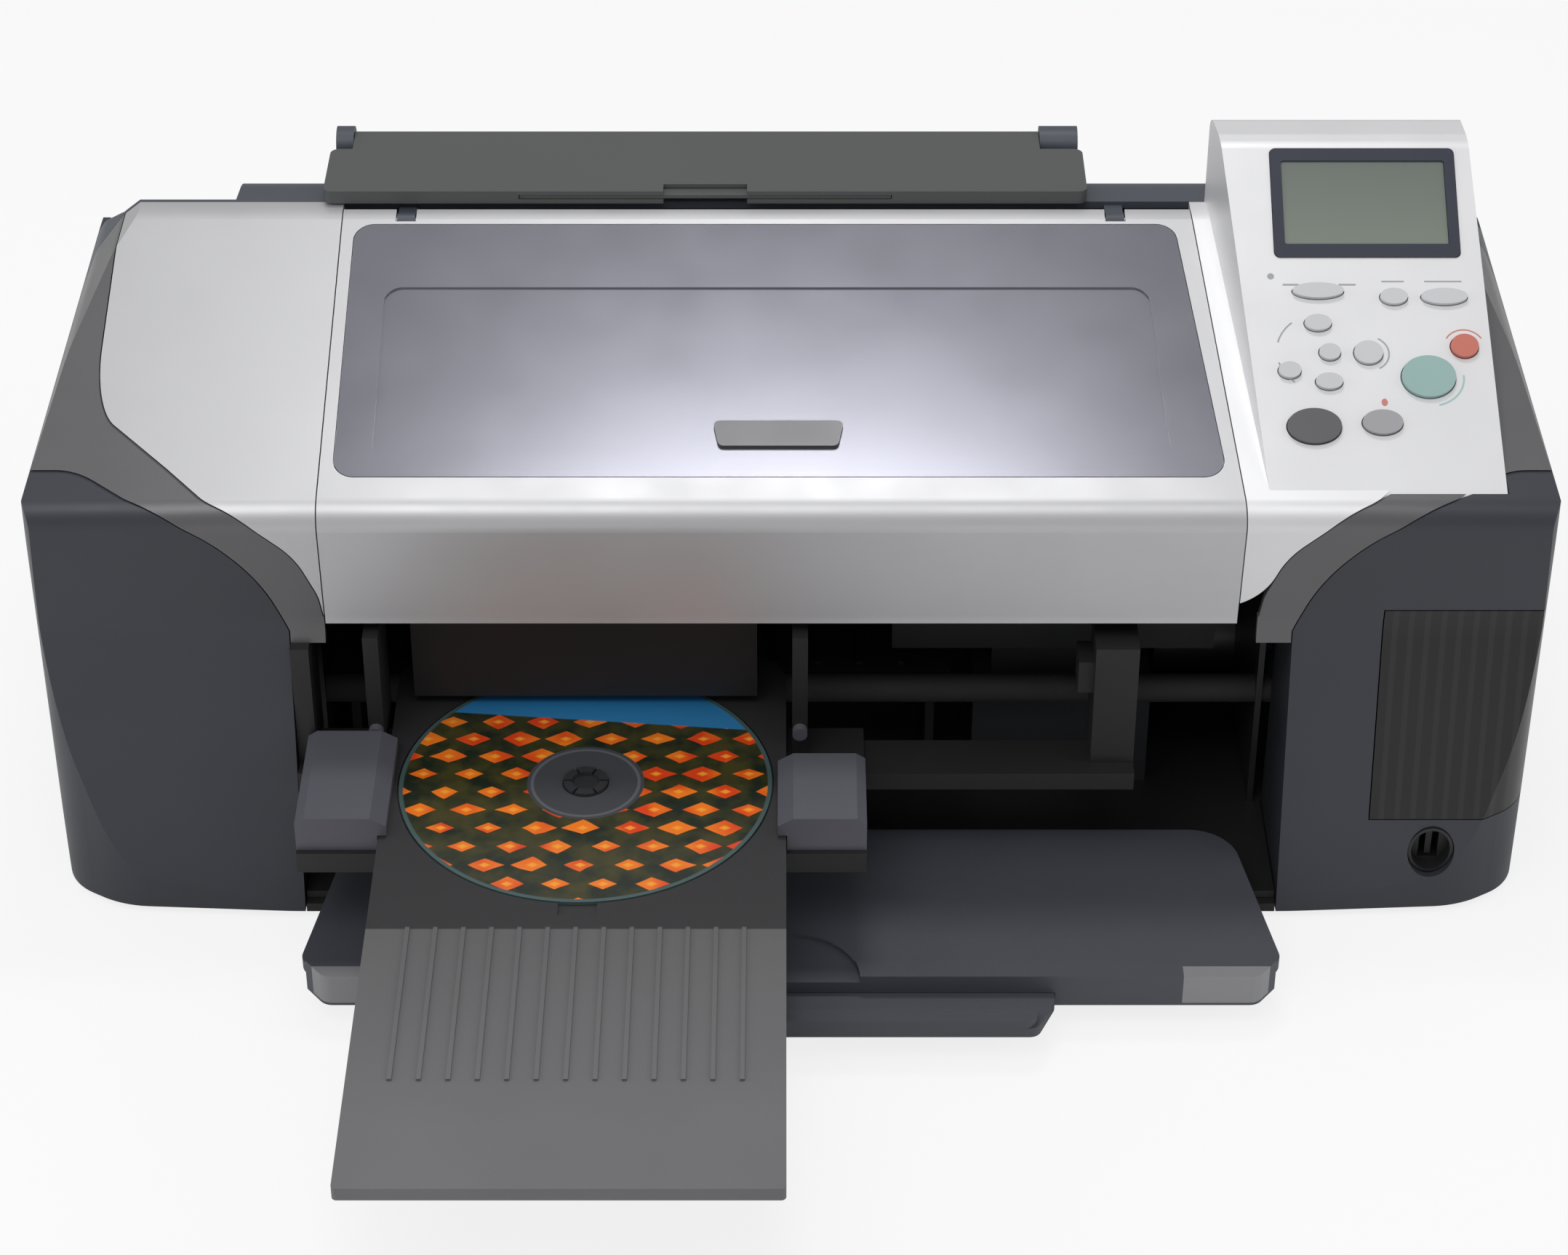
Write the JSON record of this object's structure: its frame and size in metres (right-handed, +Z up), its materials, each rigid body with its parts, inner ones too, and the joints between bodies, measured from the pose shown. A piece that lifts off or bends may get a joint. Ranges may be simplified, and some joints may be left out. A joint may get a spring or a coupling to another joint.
{
  "type": "disc label printer",
  "caption": "Desktop inkjet printer with a rear paper feeder, a tilted control panel, and a disc tray in its front opening that carries a disc under the print head.",
  "frame": {"origin": "on the floor, under the middle of the box round the whole machine with its disc tray out", "axes": "+X right as seen from the front, +Y back into the machine, +Z up"},
  "size_m": [0.494, 0.451, 0.222],
  "materials": {
    "silver_shell": "silver paint, satin sheen",
    "panel_silver": "pale silver paint, satin sheen",
    "dark_shell": "dark blue-grey, satin",
    "grey_rim": "mid-grey, satin",
    "rear_shell": "dark blue-grey, satin",
    "support_grey": "dark grey, matt",
    "window_smoke": "smoked, glossy",
    "badge_metal": "grey, satin, bare",
    "lcd_frame": "blue-black, glossy",
    "lcd_glass": "grey-green display",
    "button_light": "light grey, satin",
    "button_red": "red, satin",
    "button_teal": "pale teal, satin",
    "button_dark": "dark grey, satin",
    "button_mid": "mid-grey, satin",
    "card_smoke": "black, smoked, glossy",
    "inner_black": "black, matt",
    "guide_grey": "violet grey, matt",
    "tray_blue": "dark blue-grey, fine grain",
    "cap_grey": "light grey, satin",
    "disc_tray_grey": "mid-grey with a dark bed",
    "hub_grey": "dark grey, matt",
    "disc_print": "printed label, glossy",
    "cartridge_grey": "dark grey, matt",
    "gear_white": "natural white, satin",
    "board_green": "circuit board green",
    "socket_black": "black, matt",
    "foot_rubber": "black, matt",
    "roller_rubber": "dark grey, matt",
    "frame_steel": "bare sheet",
    "steel": "polished bar"
  },
  "bodies": {
    "printer": {"base_case": "inner_black", "left_cheek": "dark_shell", "right_cheek": "dark_shell", "left_rim": "grey_rim", "right_rim": "grey_rim", "left_top_panel": "silver_shell", "control_housing": "panel_silver", "rear_case": "rear_shell", "lcd_bezel": "lcd_frame", "lcd_screen": "lcd_glass", "panel_board": "board_green", "card_slots": "inner_black", "front_usb_port": "socket_black", "rear_sockets": "socket_black", "feet": "foot_rubber", "case_screws": "steel", "disc_guide": "inner_black", "guide_blocks": "guide_grey", "main_frame": "frame_steel", "guide_rod": "steel", "carriage_belt": "foot_rubber", "carriage_motor": "frame_steel", "platen": "inner_black", "feed_motor": "frame_steel", "main_board": "board_green", "power_supply": "socket_black", "cap_station": "hub_grey"},
    "cover": {"printer_cover": "silver_shell", "cover_window": "window_smoke", "badge_plate": "badge_metal"},
    "support": {"paper_support": "support_grey"},
    "support_end": {"support_extension": "support_grey"},
    "guide_edge": {"edge_guide": "guide_grey"},
    "door": {"card_door": "card_smoke"},
    "out_tray": {"output_tray": "tray_blue", "tray_caps": "cap_grey"},
    "out_tray_end": {"tray_extension": "tray_blue"},
    "disc_slide": {"disc_tray": "disc_tray_grey", "disc_hub": "hub_grey"},
    "disc_body": {"disc": "disc_print"},
    "carriage_body": {"carriage": "inner_black", "ink_cartridges": "cartridge_grey"},
    "pulley_right": {"drive_pulley": "gear_white"},
    "pulley_left": {"idler_pulley": "gear_white"},
    "roller_feed": {"feed_roller": "roller_rubber"},
    "roller_eject": {"eject_roller": "roller_rubber"},
    "gear_idler": {"idler_gear": "gear_white"},
    "gear_motor": {"motor_pinion": "gear_white"},
    "mode_key": {"mode_button": "button_light"},
    "options_key": {"options_button": "button_light"},
    "zoom_key": {"zoom_button": "button_light"},
    "up_key": {"up_button": "button_light"},
    "left_key": {"left_button": "button_light"},
    "down_key": {"down_button": "button_light"},
    "right_key": {"right_button": "button_light"},
    "ok_key": {"ok_button": "button_light"},
    "stop_key": {"stop_button": "button_red"},
    "print_key": {"print_button": "button_teal"},
    "power_key": {"power_button": "button_dark"},
    "paper_key": {"paper_button": "button_mid"}
  },
  "joints": [
    {"name": "cover_hinge", "type": "hinge", "parent": "printer", "child": "cover", "pos_m": [0, 0.1058, 0.1862], "axis": [-1, 0, 0], "range_deg": [0, 55]},
    {"name": "support_hinge", "type": "hinge", "parent": "printer", "child": "support", "pos_m": [0, 0.152, 0.1906], "axis": [-1, 0, 0], "range_deg": [0, 115]},
    {"name": "support_slide", "type": "slide", "parent": "support", "child": "support_end", "axis": [0, -1, 0], "range_m": [0, 0.026]},
    {"name": "edge_guide_slide", "type": "slide", "parent": "printer", "child": "guide_edge", "axis": [1, 0, 0], "range_m": [0, 0.1]},
    {"name": "card_door_hinge", "type": "hinge", "parent": "printer", "child": "door", "pos_m": [0.2471, 0.0135, 0.075], "axis": [0, 0, 1], "range_deg": [0, 80]},
    {"name": "output_tray_hinge", "type": "hinge", "parent": "printer", "child": "out_tray", "pos_m": [0, -0.0145, 0.0122], "axis": [-1, 0, 0], "range_deg": [0, 15]},
    {"name": "tray_extension_slide", "type": "slide", "parent": "out_tray", "child": "out_tray_end", "axis": [0, -1, 0], "range_m": [0, 0.045]},
    {"name": "disc_tray_slide", "type": "slide", "parent": "printer", "child": "disc_slide", "axis": [0, 1, 0], "range_m": [-0.09, 0.125]},
    {"name": "disc_turn", "type": "hinge", "parent": "disc_slide", "child": "disc_body", "pos_m": [-0.066, -0.0391, 0.062], "axis": [0, 0, 1], "continuous": true},
    {"name": "carriage_slide", "type": "slide", "parent": "printer", "child": "carriage_body", "axis": [1, 0, 0], "range_m": [-0.18, 0]},
    {"name": "drive_pulley_turn", "type": "hinge", "parent": "printer", "child": "pulley_right", "pos_m": [0.146, 0.0904, 0.118], "axis": [0, 1, 0], "range_deg": [0, 1545]},
    {"name": "idler_pulley_turn", "type": "hinge", "parent": "printer", "child": "pulley_left", "pos_m": [-0.146, 0.0904, 0.118], "axis": [0, 1, 0], "range_deg": [0, 1545]},
    {"name": "feed_roller_turn", "type": "hinge", "parent": "printer", "child": "roller_feed", "pos_m": [0, 0.0825, 0.0506], "axis": [1, 0, 0], "continuous": true},
    {"name": "eject_roller_turn", "type": "hinge", "parent": "printer", "child": "roller_eject", "pos_m": [0, 0.0255, 0.0524], "axis": [1, 0, 0], "continuous": true},
    {"name": "idler_gear_turn", "type": "hinge", "parent": "printer", "child": "gear_idler", "pos_m": [0.167, 0.05102, 0.05159], "axis": [1, 0, 0], "continuous": true},
    {"name": "motor_pinion_turn", "type": "hinge", "parent": "printer", "child": "gear_motor", "pos_m": [0.167, 0.0945, 0.02982], "axis": [1, 0, 0], "continuous": true},
    {"name": "mode_press", "type": "slide", "parent": "printer", "child": "mode_key", "axis": [0, 0.5455, -0.8381], "range_m": [0, 0.0008], "stiffness_N_per_m": 300},
    {"name": "options_press", "type": "slide", "parent": "printer", "child": "options_key", "axis": [0, 0.5455, -0.8381], "range_m": [0, 0.0008], "stiffness_N_per_m": 300},
    {"name": "zoom_press", "type": "slide", "parent": "printer", "child": "zoom_key", "axis": [0, 0.5455, -0.8381], "range_m": [0, 0.0008], "stiffness_N_per_m": 300},
    {"name": "up_press", "type": "slide", "parent": "printer", "child": "up_key", "axis": [0, 0.5455, -0.8381], "range_m": [0, 0.0008], "stiffness_N_per_m": 300},
    {"name": "left_press", "type": "slide", "parent": "printer", "child": "left_key", "axis": [0, 0.5455, -0.8381], "range_m": [0, 0.0008], "stiffness_N_per_m": 300},
    {"name": "down_press", "type": "slide", "parent": "printer", "child": "down_key", "axis": [0, 0.5455, -0.8381], "range_m": [0, 0.0008], "stiffness_N_per_m": 300},
    {"name": "right_press", "type": "slide", "parent": "printer", "child": "right_key", "axis": [0, 0.5455, -0.8381], "range_m": [0, 0.0008], "stiffness_N_per_m": 300},
    {"name": "ok_press", "type": "slide", "parent": "printer", "child": "ok_key", "axis": [0, 0.5455, -0.8381], "range_m": [0, 0.0008], "stiffness_N_per_m": 300},
    {"name": "stop_press", "type": "slide", "parent": "printer", "child": "stop_key", "axis": [0, 0.5455, -0.8381], "range_m": [0, 0.0008], "stiffness_N_per_m": 300},
    {"name": "print_press", "type": "slide", "parent": "printer", "child": "print_key", "axis": [0, 0.5455, -0.8381], "range_m": [0, 0.0008], "stiffness_N_per_m": 300},
    {"name": "power_press", "type": "slide", "parent": "printer", "child": "power_key", "axis": [0, 0.5455, -0.8381], "range_m": [0, 0.0008], "stiffness_N_per_m": 300},
    {"name": "paper_press", "type": "slide", "parent": "printer", "child": "paper_key", "axis": [0, 0.5455, -0.8381], "range_m": [0, 0.0008], "stiffness_N_per_m": 300}
  ],
  "couplings": [
    {"joint": "drive_pulley_turn", "follows": "carriage_slide", "rad_per_m": -149.25},
    {"joint": "idler_pulley_turn", "follows": "carriage_slide", "rad_per_m": -149.25},
    {"joint": "eject_roller_turn", "follows": "feed_roller_turn", "ratio": 1.5},
    {"joint": "idler_gear_turn", "follows": "feed_roller_turn", "ratio": -1.3333},
    {"joint": "motor_pinion_turn", "follows": "feed_roller_turn", "ratio": -3}
  ]
}
